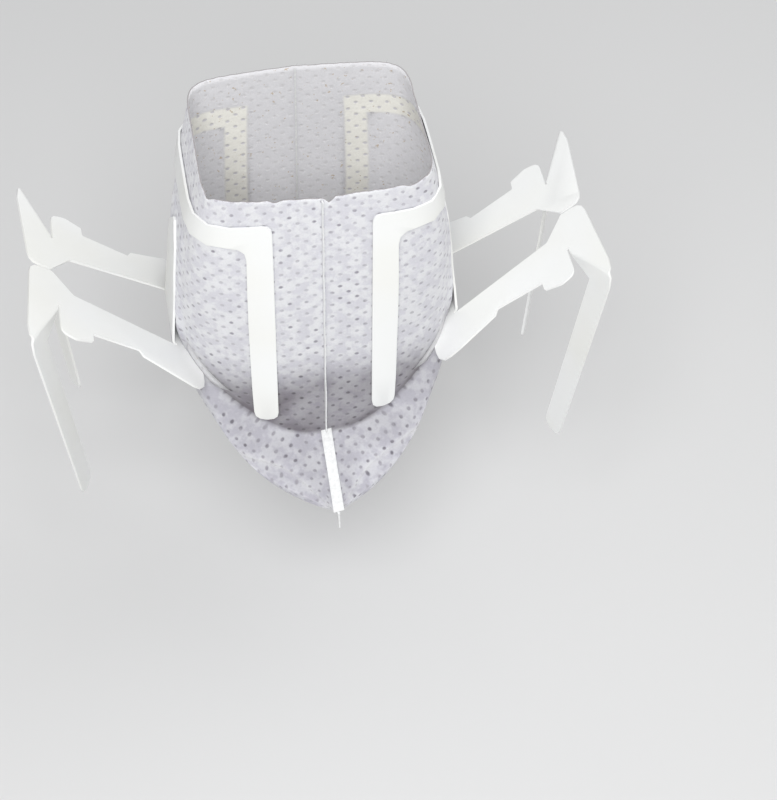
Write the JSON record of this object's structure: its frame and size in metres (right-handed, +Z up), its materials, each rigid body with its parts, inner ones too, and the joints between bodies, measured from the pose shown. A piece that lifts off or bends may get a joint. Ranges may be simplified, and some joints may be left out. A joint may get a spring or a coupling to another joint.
{
  "type": "drip coffee bag",
  "caption": "Single-use drip coffee filter bag, opened and hung across a cup's rim by folded card ears, with ground coffee inside.",
  "frame": {"origin": "centre of the rim's top plane that the bag hangs on, on the bag's vertical axis", "axes": "+Z up, +X towards the right ear, +Y from the front seam to the rear seam"},
  "size_m": [0.107, 0.073, 0.0756],
  "materials": {
    "nonwoven": "matte heat-embossed nonwoven",
    "coffee": "dry ground coffee, matte",
    "card": "smooth coated white card"
  },
  "bodies": {
    "root": {"filter_bag": "nonwoven", "ground_coffee": "coffee", "right_mouth_frame": "card", "left_mouth_frame": "card", "right_ear": "card", "left_ear": "card"}
  },
  "joints": []
}
